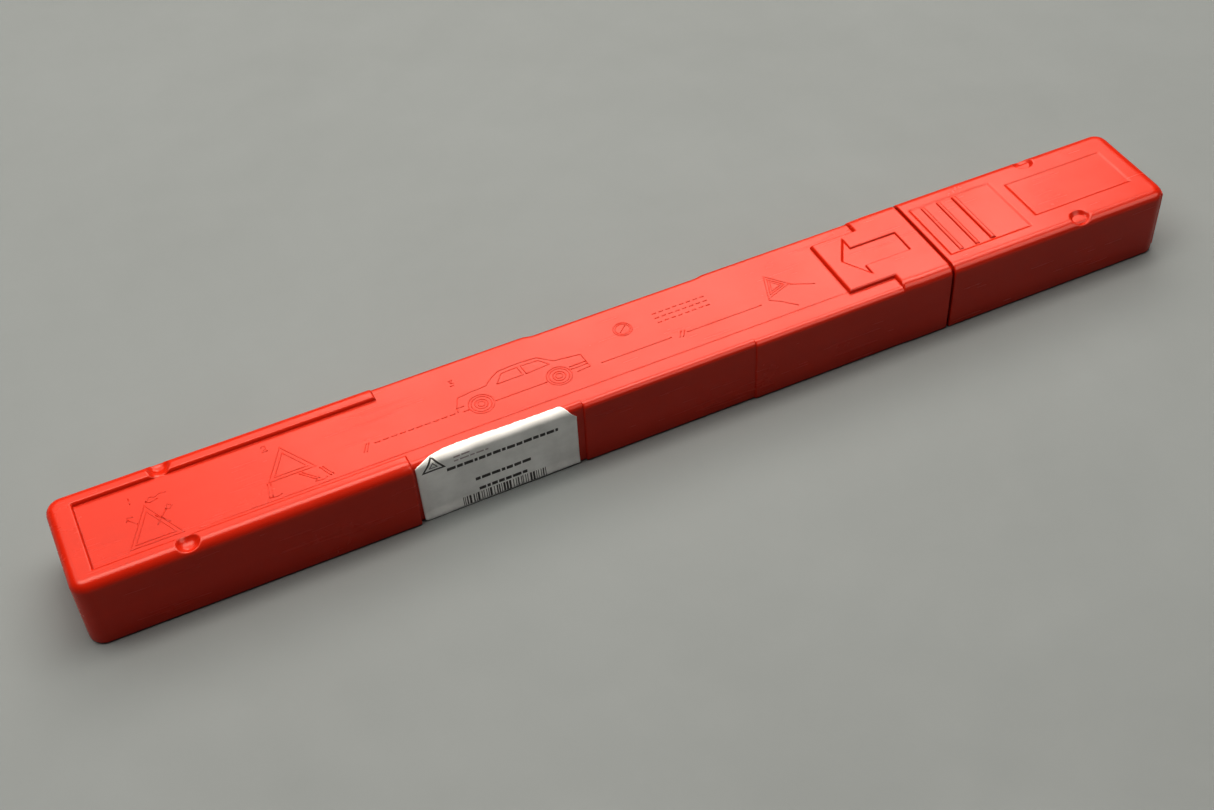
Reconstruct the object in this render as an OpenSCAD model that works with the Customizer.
// Folding warning triangle in its closed two-part storage case.
// Millimetres. +X runs along the case towards the cap, +Z is up.
// The origin is on the floor under the middle of the closed case.

/* [Case] */
// Overall length of the closed case
case_length = 445; // [430:1:560]
// Overall width of the case
case_width = 46; // [40:0.5:60]
// Overall height of the case
case_height = 31; // [28:0.5:45]
// Wall thickness of the case body and the cap
case_wall = 1.5; // [1:0.1:2.2]
// Radius of the upright corners, seen from above
corner_radius = 6; // [4.5:0.5:9]
// Radius of the long top edges
top_radius = 4; // [2.5:0.5:4.5]
// Radius of the long bottom edges
base_radius = 1.2; // [0.8:0.2:4]

/* [Case body] */
// Length of the full-width end that has a rim on both sides
end_zone_length = 120.5; // [80:0.5:130]
// Length of the pocket that holds the label
pocket_length = 66.5; // [40:1:75]
// Depth of the label pocket
pocket_depth = 1.8; // [0.5:0.1:2.4]
// Depth of the waist on both sides
waist_depth = 0.9; // [0.2:0.1:1.6]
// Length of the shoulder between the waist and the collar
shoulder_length = 71; // [40:1:90]
// How far the shoulder sits in from the full width
shoulder_depth = 0.25; // [0.1:0.05:0.6]
// Length of the full-width collar beside the seam
collar_length = 14.5; // [8:0.5:24]
// Depth of the sunken top panel
panel_depth = 1.6; // [0.4:0.1:1.8]
// Width of the rim round the sunken panel
rim_width = 7; // [5:0.5:9]
// Rim between the closed end and the sunken panel
rim_end = 8.5; // [7:0.5:16]
// Length of the raised pad beside the seam
pad_length = 42; // [24:1:60]
// Length of the pad's narrow first part
pad_neck = 20.5; // [8:0.5:22]
// Half width of the pad's narrow first part
pad_half_width = 15.5; // [10:0.5:17]

/* [Neck and cap] */
// Length of the pull-off cap
cap_length = 100.5; // [80:0.5:140]
// Gap between the collar and the cap
seam_gap = 1; // [0.5:0.1:2]
// Length of the neck that the cap slides over
neck_length = 24; // [10:1:40]
// Wall thickness of the neck
neck_wall = 1.2; // [0.8:0.1:2]
// Gap all round between the neck and the cap
neck_clearance = 0.3; // [0.2:0.05:0.6]
// Number of grip ribs on the cap
grip_ribs = 3; // [2:1:5]
// Distance between grip ribs
grip_pitch = 7.1; // [4:0.1:8]
// Width of one grip rib
grip_width = 1.8; // [1:0.2:3]
// Length of the grip ribs across the cap
grip_length = 28; // [16:1:29]
// Depth of the panel round the grip ribs
grip_depth = 0.8; // [0.3:0.1:1.2]
// Length of the shallow plain field on the cap
field_length = 46; // [20:0.5:50]
// Width of the shallow plain field on the cap
field_width = 22; // [10:0.5:28]
// Depth of the shallow plain field
field_depth = 0.4; // [0.2:0.1:0.8]
// Radius of the thumb dimples on the edges
dimple_radius = 4.7; // [3.5:0.1:5.5]
// Depth of the thumb dimples below the top
dimple_depth = 2.2; // [1:0.1:2.2]
// Distance of a dimple's middle from the side
dimple_inset = 2.9; // [2:0.1:3.5]
// Distance of the body's dimples from the closed end
body_dimple_x = 40; // [20:1:80]
// Distance of the cap's dimples from the cap's closed end
cap_dimple_x = 41; // [20:1:60]

/* [Label] */
// Length of the paper label
label_length = 62.2; // [30:0.5:66]
// Gap between the pocket's left end and the label
label_inset = 1.5; // [0.5:0.5:4]
// Height of the label's lower edge above the floor
label_base = 0.6; // [0.4:0.2:8]
// Thickness of the label
label_thickness = 0.3; // [0.1:0.05:0.4]
// How far the label laps over the top edge, from the front
label_lap = 3.4; // [2.6:0.1:4]

/* [Folded triangle] */
// Gap at each end of the folded triangle
end_clearance = 6.5; // [3:0.5:12]
// Gap beside the folded triangle in its narrowest passage
side_clearance = 0.7; // [0.4:0.1:2]
// Gap under and over the folded triangle in the neck
height_clearance = 0.4; // [0.3:0.1:2]
// Gap between the stacked arms
arm_gap = 0.8; // [0.4:0.1:1.5]
// Thickness of an arm's floor
arm_floor = 1.6; // [1:0.1:2.5]
// Thickness of an arm's side walls
arm_wall = 1.5; // [1:0.1:2.5]
// Radius of an arm's end corners
arm_corner = 10; // [4:0.5:14]
// Distance of the hinge rivets from the arm ends
hinge_inset = 16.5; // [14:0.5:24]
// Solid length at an arm's end, measured from the hinge
hinge_block = 14; // [10:0.5:20]
// How much shorter the side arms are than the hinge spacing
apex_offset = 20; // [16:0.5:30]

/* [Lights and strips] */
// Width of the red reflector lenses
reflector_width = 24; // [20:0.5:26]
// Thickness of the red reflector lenses
reflector_thickness = 2.6; // [1.5:0.1:3.2]
// Thickness of the plates sealed behind the lenses
backing_thickness = 1; // [0.6:0.1:1.4]
// Number of reflector lenses on each arm
reflectors_per_arm = 3; // [1:1:5]
// Gap between neighbouring reflector lenses
reflector_gap = 1; // [0.4:0.1:3]
// Thickness of the fluorescent strips
fluorescent_thickness = 2; // [0.8:0.1:3]
// Gap round the lenses and strips in their tray
tray_clearance = 0.2; // [0.1:0.05:0.5]

/* [Rivets and feet] */
// Radius of the hinge rivets
rivet_radius = 2.5; // [1.5:0.1:3.5]
// Head radius of the hinge rivets
rivet_head_radius = 5; // [4:0.1:6]
// Head thickness of the hinge rivets
rivet_head = 1.2; // [0.8:0.1:1.6]
// Radial clearance of rivets in their holes
rivet_clearance = 0.05; // [0.02:0.01:0.15]
// Radius of the spacer bush and the washers
bush_radius = 6; // [5:0.5:8]
// Length of one folding foot
foot_length = 196; // [120:1:200]
// Thickness of the steel feet
foot_thickness = 1.5; // [1:0.1:2]
// Radius of the foot rivets
foot_rivet_radius = 1.5; // [1:0.1:2]
// Head radius of the foot rivets
foot_head_radius = 2.6; // [2:0.1:3]
// Head thickness of the foot rivets
foot_head = 0.6; // [0.4:0.1:1]
// Thickness of the friction washers under the feet
foot_washer = 0.4; // [0.2:0.1:0.8]
// Radius of the snap stud at the apex
stud_radius = 2; // [1.5:0.1:3]
// Head radius of the snap stud
stud_head_radius = 2.6; // [2:0.1:3.5]
// Wall of the snap socket's ring
socket_wall = 2; // [1:0.1:3]

/* [Hidden] */
$fn = 48;
// Overshoot of a cut past the surface that it goes through
over = 1;
left_end = -case_length / 2;
right_end = case_length / 2;
half_width = case_width / 2;
cap_start = right_end - cap_length;
collar_end = cap_start - seam_gap;
neck_end = collar_end + seam_gap + neck_length;
pocket_start = left_end + end_zone_length;
pocket_end = pocket_start + pocket_length;
collar_start = collar_end - collar_length;
shoulder_start = collar_start - shoulder_length;
panel_top = case_height - panel_depth;
// The lowered top's edge rounding starts this much below the full-height one's
radius_start = 0.4;
low_radius = top_radius - panel_depth + radius_start;
cavity_top = panel_top - case_wall;
// Wall left round a thumb dimple, thin enough to clear the triangle's top edges
dimple_wall = 1.2;
pad_start = collar_end - pad_length;
pad_full = pad_start + pad_neck;

neck_inset = case_wall + neck_clearance;
bore_inset = neck_inset + neck_wall;
bore_radius = 1.3;
runner_width = 2;
runner_y = 12;
shoulder_wall = 2;

// The triangle is sized by the narrowest passage on its way out
passage = min(half_width - bore_inset, half_width - pocket_depth - case_wall);
arm_half_width = passage - side_clearance;
stack_base = bore_inset + height_clearance;
stack_top = min(case_height - bore_inset, cavity_top) - height_clearance;
arm_thickness = (stack_top - stack_base - 2 * arm_gap) / 3;
layer_pitch = arm_thickness + arm_gap;
arm_end = case_length / 2 - case_wall - end_clearance;
hinge_x = arm_end - hinge_inset;
side_arm_reach = 2 * hinge_x - apex_offset;
stud_x = side_arm_reach - hinge_x;
stud_to_end = 8;
foot_band = foot_head + foot_thickness + foot_washer;
// The feet stay this far from the middle, and from the base arm's rim
foot_start = 4;
foot_gap = 0.1;
foot_middle = foot_start + foot_length / 2;
tray_end = hinge_x - hinge_block;
stud_block = 9;
left_tray_end = stud_x - stud_block;

// ---- shared shapes ------------------------------------------------------

// Rounded outline across the case, from the front side to the back side
module outline(front, back, base, top, base_r, top_r) {
    translate([front, base + base_r])
        square([back - front, top - top_r - base - base_r]);
    translate([front + base_r, base])
        square([back - front - 2 * base_r, base_r + 0.01]);
    translate([front + top_r, top - top_r - 0.01])
        square([back - front - 2 * top_r, top_r + 0.01]);
    for (y = [front + base_r, back - base_r])
        translate([y, base + base_r])
            circle(base_r);
    for (y = [front + top_r, back - top_r])
        translate([y, top - top_r])
            circle(top_r);
}

// A length of the case with that outline, from one x to another
module bar(x0, x1, front, back, base, top, base_r, top_r) {
    translate([x0, 0, 0])
        rotate([90, 0, 90])
            linear_extrude(x1 - x0)
                outline(front, back, base, top, base_r, top_r);
}

// A length of the case at its full height
module case_bar(x0, x1, front_depth, back_depth) {
    bar(x0, x1, front_depth - half_width, half_width - back_depth,
        0, case_height, base_radius, top_radius);
}

// A length of the case whose top lies level with the sunken panel
module low_bar(x0, x1, front_depth, back_depth) {
    bar(x0, x1, front_depth - half_width, half_width - back_depth,
        0, panel_top, base_radius, low_radius);
}

// One rounded closed end; side is -1 at the body's end and 1 at the cap's end
module closed_end(side) {
    ring = corner_radius;
    slice = 0.1;
    x_ring = side * (case_length / 2 - ring);
    hull() {
        for (y = [ring - half_width, half_width - ring]) {
            translate([x_ring, y, case_height - top_radius])
                rotate_extrude($fn = 32)
                    translate([ring - top_radius, 0])
                        intersection() {
                            circle(top_radius, $fn = 32);
                            translate([0, -top_radius])
                                square([top_radius, 2 * top_radius]);
                        }
            translate([x_ring, y, base_radius])
                rotate_extrude($fn = 32)
                    translate([ring - base_radius, 0])
                        intersection() {
                            circle(base_radius, $fn = 32);
                            translate([0, -base_radius])
                                square([base_radius, 2 * base_radius]);
                        }
        }
        case_bar(x_ring - slice / 2, x_ring + slice / 2, 0, 0);
    }
}

// A box between two corners
module block(low, high) {
    translate(low)
        cube(high - low);
}

// A ball at both top edges at one x, for the thumb dimples and the walls round them
module edge_balls(x, radius) {
    for (side = [-1, 1])
        translate([x, side * (half_width - dimple_inset),
                case_height + dimple_radius - dimple_depth])
            rotate([90, 0, 0])
                sphere(radius);
}

// ---- case ---------------------------------------------------------------

// Outside of the case body, without the sunken panel
module body_outside() {
    closed_end(-1);
    case_bar(left_end + corner_radius, pocket_start, 0, 0);
    low_bar(pocket_start, pocket_end, pocket_depth, 0);
    low_bar(pocket_end, shoulder_start, waist_depth, waist_depth);
    low_bar(shoulder_start, pad_full, shoulder_depth, shoulder_depth);
    block([pad_start, -pad_half_width, cavity_top],
        [pad_full + over, pad_half_width, case_height]);
    case_bar(pad_full, collar_start, shoulder_depth, shoulder_depth);
    case_bar(collar_start, collar_end, 0, 0);
    bar(collar_end, neck_end, neck_inset - half_width, half_width - neck_inset,
        neck_inset, case_height - neck_inset, bore_radius, bore_radius);
}

// One length of the body's hollow, a wall inside the outside
module body_hollow(x0, x1, front_depth, back_depth) {
    bar(x0, x1, front_depth + case_wall - half_width, half_width - back_depth - case_wall,
        case_wall, cavity_top, bore_radius, bore_radius);
}

module case_body() {
    hollow_end = collar_end - shoulder_wall;
    color([0.86, 0.16, 0.11])
        difference() {
            body_outside();
            difference() {
                union() {
                    body_hollow(left_end + case_wall, pocket_start - case_wall, 0, 0);
                    body_hollow(pocket_start - case_wall, pocket_end + case_wall,
                        pocket_depth, 0);
                    body_hollow(pocket_end + case_wall, shoulder_start + case_wall,
                        waist_depth, waist_depth);
                    body_hollow(shoulder_start + case_wall, hollow_end,
                        shoulder_depth, shoulder_depth);
                }
                // Runners that hold the triangle level with the neck
                for (side = [-1, 1])
                    block([left_end, side * runner_y - runner_width / 2, 0],
                        [collar_end, side * runner_y + runner_width / 2, bore_inset]);
                edge_balls(left_end + body_dimple_x, dimple_radius + dimple_wall);
            }
            bar(hollow_end - over, neck_end + over, bore_inset - half_width,
                half_width - bore_inset, bore_inset, case_height - bore_inset,
                bore_radius, bore_radius);
            // Panel sunk into the rimmed end zone, level with the middle's top
            block([left_end + rim_end, rim_width - half_width, panel_top],
                [pocket_start + over, half_width - rim_width, case_height + over]);
            edge_balls(left_end + body_dimple_x, dimple_radius);
        }
}

module case_cap() {
    grip_start = cap_start + 2.5;
    first_rib = grip_start + 5;
    grip_end = first_rib + (grip_ribs - 1) * grip_pitch + 18;
    grip_half = grip_length / 2 + 1.5;
    field_end = right_end - corner_radius - 3.5;
    dimple_x = right_end - cap_dimple_x;
    color([0.86, 0.16, 0.11])
        difference() {
            union() {
                case_bar(cap_start, right_end - corner_radius, 0, 0);
                closed_end(1);
            }
            difference() {
                bar(cap_start - over, right_end - case_wall, case_wall - half_width,
                    half_width - case_wall, case_wall, case_height - case_wall,
                    bore_radius, bore_radius);
                edge_balls(dimple_x, dimple_radius + dimple_wall);
            }
            // Shallow panel with the grip ribs left standing in it
            difference() {
                block([grip_start, -grip_half, case_height - grip_depth],
                    [grip_end, grip_half, case_height + over]);
                for (i = [0 : grip_ribs - 1])
                    block([first_rib + i * grip_pitch, -grip_length / 2, 0],
                        [first_rib + i * grip_pitch + grip_width, grip_length / 2,
                            case_height]);
            }
            block([field_end - field_length, -field_width / 2, case_height - field_depth],
                [field_end, field_width / 2, case_height + over]);
            edge_balls(dimple_x, dimple_radius);
        }
}

// The label lies in the pocket and laps over the top edge
module label() {
    x0 = pocket_start + label_inset;
    face = pocket_depth - half_width;
    t = label_thickness;
    color([0.93, 0.93, 0.91])
        intersection() {
            difference() {
                bar(x0, x0 + label_length, face - t, 0, -t, panel_top + t,
                    base_radius + t, low_radius + t);
                bar(x0 - over, x0 + label_length + over, face, over, 0, panel_top,
                    base_radius, low_radius);
            }
            block([x0, face - over, label_base],
                [x0 + label_length, face + label_lap, case_height]);
        }
}

// ---- arms ---------------------------------------------------------------

// Flat slab with rounded corners in plan
module slab(x0, x1, y0, y1, z0, z1) {
    r = arm_corner;
    translate([0, 0, z0])
        linear_extrude(z1 - z0)
            union() {
                translate([x0 + r, y0])
                    square([x1 - x0 - 2 * r, y1 - y0]);
                translate([x0, y0 + r])
                    square([x1 - x0, y1 - y0 - 2 * r]);
                for (x = [x0 + r, x1 - r])
                    for (y = [y0 + r, y1 - r])
                        translate([x, y])
                            circle(r);
            }
}

// An arm: a slab with a tray sunk into its face between its end blocks
module arm(layer, x0, x1, front, tray_x0, tray_x1) {
    z0 = stack_base + layer * layer_pitch;
    difference() {
        slab(x0, x1, front, arm_half_width, z0, z0 + arm_thickness);
        block([tray_x0, front + arm_wall, z0 + arm_floor],
            [tray_x1, arm_half_width - arm_wall, z0 + arm_thickness + over]);
    }
}

// Hole for a hinge rivet, with a seat for its head at the bottom or the top
module hinge_hole(x, layer, head_low, head_high) {
    z0 = stack_base + layer * layer_pitch;
    z1 = z0 + arm_thickness;
    seat = rivet_head + 0.1;
    translate([x, 0, z0 - over])
        cylinder(h = arm_thickness + 2 * over, r = rivet_radius + rivet_clearance);
    if (head_low)
        translate([x, 0, z0 - over])
            cylinder(h = seat + over, r = rivet_head_radius + rivet_clearance);
    if (head_high)
        translate([x, 0, z1 - seat])
            cylinder(h = seat + over, r = rivet_head_radius + rivet_clearance);
}

module base_arm() {
    front = foot_band - arm_half_width;
    color([0.75, 0.10, 0.08])
        difference() {
            arm(0, -arm_end, arm_end, front, -tray_end, tray_end);
            hinge_hole(-hinge_x, 0, true, false);
            hinge_hole(hinge_x, 0, true, false);
            // Holes in the lower side wall for the foot rivets
            for (side = [-1, 1])
                translate([side * foot_middle, front - over, foot_z()])
                    rotate([-90, 0, 0])
                        cylinder(h = arm_wall + 2 * over,
                            r = foot_rivet_radius + rivet_clearance);
        }
}

module left_arm() {
    color([0.75, 0.10, 0.08])
        difference() {
            arm(1, -arm_end, stud_x + stud_to_end, -arm_half_width, -tray_end,
                left_tray_end);
            hinge_hole(-hinge_x, 1, false, true);
            stud_hole(1);
        }
}

module right_arm() {
    z0 = stack_base + 2 * layer_pitch;
    color([0.75, 0.10, 0.08])
        difference() {
            arm(2, -stud_x - stud_to_end, arm_end, -arm_half_width, -left_tray_end,
                left_tray_end);
            hinge_hole(hinge_x, 2, false, true);
            // The socket's seat, and the hole where the stud parks when folded
            translate([-stud_x, 0, z0 - over])
                cylinder(h = arm_thickness + 2 * over, r = socket_radius() + rivet_clearance);
            translate([stud_x, 0, z0 - over])
                cylinder(h = arm_thickness + 2 * over, r = stud_head_radius + 0.5);
        }
}

// ---- reflectors and strips ----------------------------------------------

// A row of equal plates along one arm's tray
module plate_row(x0, x1, y0, y1, z0, z1) {
    pitch = (x1 - x0) / reflectors_per_arm;
    for (i = [0 : reflectors_per_arm - 1])
        block([x0 + i * pitch + reflector_gap / 2, y0, z0],
            [x0 + (i + 1) * pitch - reflector_gap / 2, y1, z1]);
}

// Lenses or backing plates of one arm; outer is the arm's outer edge, -1 or 1
module reflector_plates(layer, x0, x1, outer, edge, is_lens) {
    floor_z = stack_base + layer * layer_pitch + arm_floor;
    z0 = floor_z + (is_lens ? backing_thickness : 0);
    z1 = z0 + (is_lens ? reflector_thickness : backing_thickness);
    y_out = edge - arm_wall - tray_clearance;
    y_in = y_out - reflector_width;
    plate_row(x0, x1, outer > 0 ? y_in : -y_out, outer > 0 ? y_out : -y_in, z0, z1);
}

// Fluorescent strip beside the lenses, towards the triangle's open middle
module fluorescent_strip(layer, x0, x1, outer, edge, inner_edge) {
    z0 = stack_base + layer * layer_pitch + arm_floor;
    y_out = edge - arm_wall - tray_clearance - reflector_width - tray_clearance;
    y_in = arm_wall + tray_clearance - inner_edge;
    color([1.0, 0.30, 0.10])
        block([x0 + reflector_gap / 2, outer > 0 ? y_in : -y_out, z0],
            [x1 - reflector_gap / 2, outer > 0 ? y_out : -y_in, z0 + fluorescent_thickness]);
}

base_edge = arm_half_width - foot_band;
lens_red = [0.80, 0.04, 0.05];
backing_white = [0.85, 0.85, 0.83];

module base_reflectors() {
    color(lens_red)
        reflector_plates(0, -tray_end, tray_end, -1, base_edge - foot_head_room(), true);
}

module left_reflectors() {
    color(lens_red)
        reflector_plates(1, -tray_end, left_tray_end, 1, arm_half_width, true);
}

module right_reflectors() {
    color(lens_red)
        reflector_plates(2, -left_tray_end, left_tray_end, 1, arm_half_width, true);
}

module base_reflector_backs() {
    color(backing_white)
        reflector_plates(0, -tray_end, tray_end, -1, base_edge - foot_head_room(), false);
}

module left_reflector_backs() {
    color(backing_white)
        reflector_plates(1, -tray_end, left_tray_end, 1, arm_half_width, false);
}

module right_reflector_backs() {
    color(backing_white)
        reflector_plates(2, -left_tray_end, left_tray_end, 1, arm_half_width, false);
}

module base_fluorescent_strip() {
    fluorescent_strip(0, -tray_end, tray_end, -1, base_edge - foot_head_room(),
        arm_half_width);
}

module left_fluorescent_strip() {
    fluorescent_strip(1, -tray_end, left_tray_end, 1, arm_half_width, arm_half_width);
}

module right_fluorescent_strip() {
    fluorescent_strip(2, -left_tray_end, left_tray_end, 1, arm_half_width, arm_half_width);
}

// ---- hinges and apex ----------------------------------------------------

// Rivet from the base arm's underside to the face of an arm in a higher layer
module hinge_rivet(x, layer) {
    seat = rivet_head + 0.1;
    z0 = stack_base + 0.1;
    z1 = stack_base + layer * layer_pitch + arm_thickness - 0.1;
    color([0.78, 0.78, 0.80])
        translate([x, 0, z0]) {
            cylinder(h = z1 - z0, r = rivet_radius);
            cylinder(h = rivet_head, r = rivet_head_radius);
            translate([0, 0, z1 - z0 - rivet_head])
                cylinder(h = rivet_head, r = rivet_head_radius);
        }
}

module left_hinge_rivet() {
    hinge_rivet(-hinge_x, 1);
}

module right_hinge_rivet() {
    hinge_rivet(hinge_x, 2);
}

// Ring on a hinge rivet that fills the gap between two arms
module spacer(x, from_layer, to_layer) {
    z0 = stack_base + from_layer * layer_pitch + arm_thickness;
    z1 = stack_base + to_layer * layer_pitch;
    color([0.20, 0.20, 0.21])
        translate([x, 0, z0])
            difference() {
                cylinder(h = z1 - z0, r = bush_radius);
                translate([0, 0, -over])
                    cylinder(h = z1 - z0 + 2 * over, r = rivet_radius + rivet_clearance);
            }
}

module left_hinge_washer() {
    spacer(-hinge_x, 0, 1);
}

module right_spacer_bush() {
    spacer(hinge_x, 0, 2);
}

// Hole in the left arm that the snap stud is pressed into
module stud_hole(layer) {
    z0 = stack_base + layer * layer_pitch;
    translate([stud_x, 0, z0 - over])
        cylinder(h = arm_thickness + 2 * over, r = stud_radius + rivet_clearance);
    translate([stud_x, 0, z0 - over])
        cylinder(h = foot_head + 0.1 + over, r = stud_head_radius + rivet_clearance);
}

// Mushroom stud that stands up out of the left arm
module apex_stud() {
    z0 = stack_base + layer_pitch + 0.1;
    neck = arm_thickness + arm_gap + 1.4;
    color([0.78, 0.78, 0.80])
        translate([stud_x, 0, z0]) {
            cylinder(h = neck + 1, r = stud_radius);
            cylinder(h = foot_head, r = stud_head_radius);
            translate([0, 0, neck])
                cylinder(h = 1.2, r = stud_head_radius);
        }
}

// Snap ring in the right arm that takes the stud when the triangle stands
module apex_socket() {
    z0 = stack_base + 2 * layer_pitch + 0.3;
    color([0.20, 0.20, 0.21])
        translate([-stud_x, 0, z0])
            difference() {
                cylinder(h = arm_thickness - 0.6, r = socket_radius());
                translate([0, 0, -over])
                    cylinder(h = arm_thickness + 2 * over, r = stud_radius + 0.1);
                translate([0, 0, 1.4])
                    cylinder(h = arm_thickness, r = stud_head_radius + 0.1);
            }
}

function socket_radius() = stud_head_radius + socket_wall;
function foot_z() = stack_base + (arm_thickness + arm_floor) / 2;
function foot_head_room() = foot_head + 0.3;

// ---- folding feet -------------------------------------------------------

// Steel foot that lies along the base arm; side is -1 left and 1 right
module foot(side) {
    y0 = foot_head - arm_half_width;
    foot_half = (arm_thickness - arm_floor) / 2 - foot_gap;
    color([0.62, 0.63, 0.65])
        translate([side * foot_middle, y0, foot_z()])
            rotate([-90, 0, 0])
                difference() {
                    linear_extrude(foot_thickness)
                        union() {
                            square([foot_length - 2 * foot_half, 2 * foot_half],
                                center = true);
                            for (end = [-1, 1])
                                translate([end * (foot_length / 2 - foot_half), 0])
                                    circle(foot_half);
                        }
                    translate([0, 0, -over])
                        cylinder(h = foot_thickness + 2 * over,
                            r = foot_rivet_radius + rivet_clearance);
                }
}

module left_foot() {
    foot(-1);
}

module right_foot() {
    foot(1);
}

// Rivet through a foot, its washer and the base arm's side wall
module foot_rivet(side) {
    through = foot_thickness + foot_washer + arm_wall;
    color([0.78, 0.78, 0.80])
        translate([side * foot_middle, -arm_half_width, foot_z()])
            rotate([-90, 0, 0]) {
                cylinder(h = foot_head, r = foot_head_radius);
                cylinder(h = through + 2 * foot_head, r = foot_rivet_radius);
                translate([0, 0, foot_head + through])
                    cylinder(h = foot_head, r = foot_head_radius);
            }
}

module left_foot_rivet() {
    foot_rivet(-1);
}

module right_foot_rivet() {
    foot_rivet(1);
}

// Washer that gives the foot its friction
module foot_washer_ring(side) {
    color([0.20, 0.20, 0.21])
        translate([side * foot_middle, foot_head + foot_thickness - arm_half_width, foot_z()])
            rotate([-90, 0, 0])
                difference() {
                    cylinder(h = foot_washer, r = foot_head_radius);
                    translate([0, 0, -over])
                        cylinder(h = foot_washer + 2 * over,
                            r = foot_rivet_radius + rivet_clearance);
                }
}

module left_foot_washer() {
    foot_washer_ring(-1);
}

module right_foot_washer() {
    foot_washer_ring(1);
}

// ---- nodes --------------------------------------------------------------

case_body();
case_cap();
label();
base_arm();
left_arm();
right_arm();
base_reflectors();
left_reflectors();
right_reflectors();
base_reflector_backs();
left_reflector_backs();
right_reflector_backs();
base_fluorescent_strip();
left_fluorescent_strip();
right_fluorescent_strip();
left_hinge_rivet();
right_hinge_rivet();
left_hinge_washer();
right_spacer_bush();
apex_stud();
apex_socket();
left_foot();
right_foot();
left_foot_rivet();
right_foot_rivet();
left_foot_washer();
right_foot_washer();
